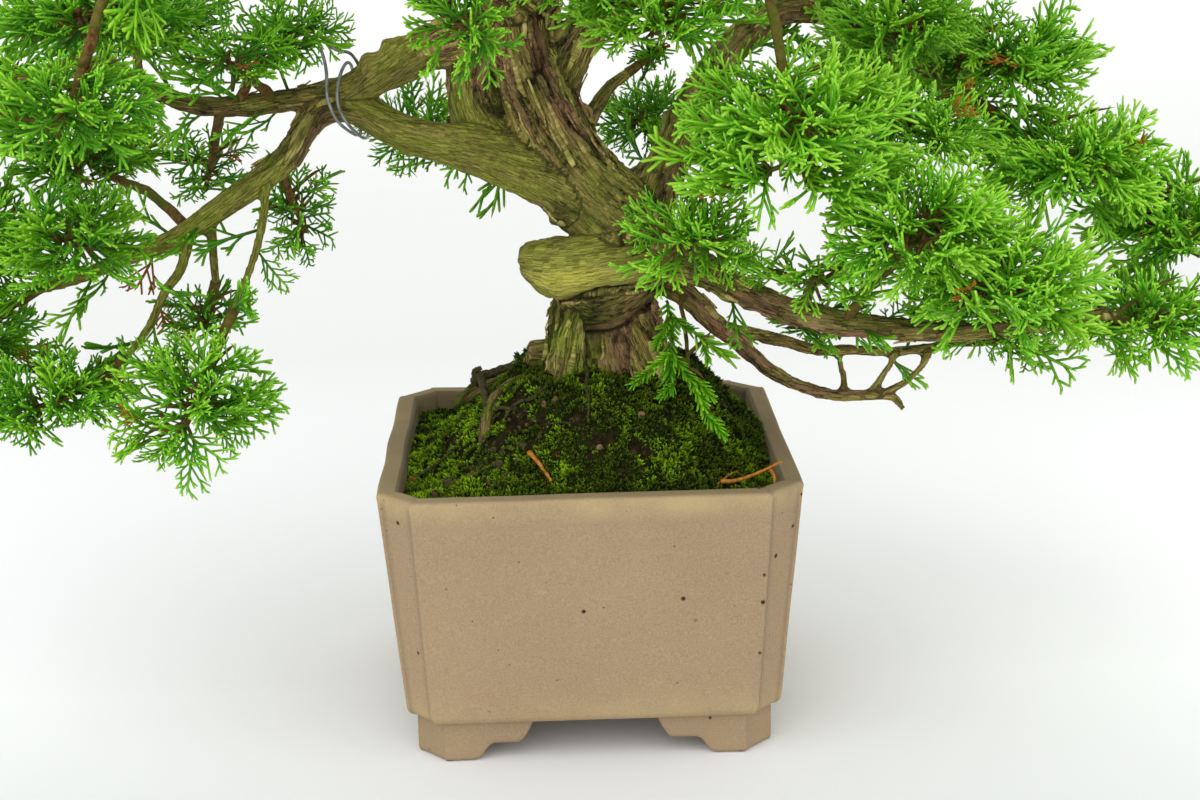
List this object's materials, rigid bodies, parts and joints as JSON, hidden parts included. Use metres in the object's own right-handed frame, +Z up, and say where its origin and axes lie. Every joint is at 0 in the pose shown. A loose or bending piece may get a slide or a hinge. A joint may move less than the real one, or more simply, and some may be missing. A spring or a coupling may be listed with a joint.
{
  "type": "chinese juniper bonsai",
  "caption": "Old juniper trained as a bonsai, with a curved trunk, spreading branches of scale-leaved sprays and mossy soil, in a square unglazed clay pot on corner feet.",
  "frame": {"origin": "on the ground under the middle of the pot, which is also the middle of the crown", "axes": "+Z up, +X to the right of the picture's front, +Y to the back"},
  "size_m": [0.5197, 0.3207, 0.402],
  "materials": {
    "clay": "unglazed, fine grained, matt",
    "soil": "damp soil under moss",
    "bark": "fibrous bark with green algae",
    "foliage": "waxy scale leaves",
    "wire": "annealed, dark grey",
    "screen": "moulded"
  },
  "bodies": {
    "root": {"drain_screen": "screen", "pot": "clay", "soil": "soil", "spray_apex": "foliage", "spray_back_left": "foliage", "spray_back_middle": "foliage", "spray_back_right": "foliage", "spray_base_shoot": "foliage", "spray_crown_back": "foliage", "spray_crown_back_right": "foliage", "spray_crown_back_upper": "foliage", "spray_crown_front": "foliage", "spray_crown_front_left": "foliage", "spray_crown_front_upper": "foliage", "spray_crown_left_back": "foliage", "spray_crown_left_inner": "foliage", "spray_crown_left_outer": "foliage", "spray_crown_right_front": "foliage", "spray_crown_right_inner": "foliage", "spray_crown_right_outer": "foliage", "spray_front_hang": "foliage", "spray_front_middle": "foliage", "spray_left_front_inner": "foliage", "spray_left_hang_front": "foliage", "spray_left_inner": "foliage", "spray_left_inner_low": "foliage", "spray_left_low_far": "foliage", "spray_left_low_outer": "foliage", "spray_left_mid": "foliage", "spray_left_mid_back": "foliage", "spray_left_mid_outer": "foliage", "spray_left_top": "foliage", "spray_left_top_back": "foliage", "spray_left_top_inner": "foliage", "spray_left_under": "foliage", "spray_left_upper_front": "foliage", "spray_left_upper_outer": "foliage", "spray_rear_hang": "foliage", "spray_right_back": "foliage", "spray_right_front_high": "foliage", "spray_right_front_inner": "foliage", "spray_right_front_low": "foliage", "spray_right_front_mid": "foliage", "spray_right_front_outer": "foliage", "spray_right_front_top": "foliage", "spray_right_low_inner": "foliage", "spray_right_low_outer": "foliage", "spray_right_middle": "foliage", "spray_right_outer": "foliage", "spray_right_outer_high": "foliage", "spray_right_outer_low": "foliage", "spray_right_top": "foliage", "spray_right_top_inner": "foliage", "spray_stub_shoot": "foliage", "tie_wire": "wire", "wood": "bark"}
  },
  "joints": []
}
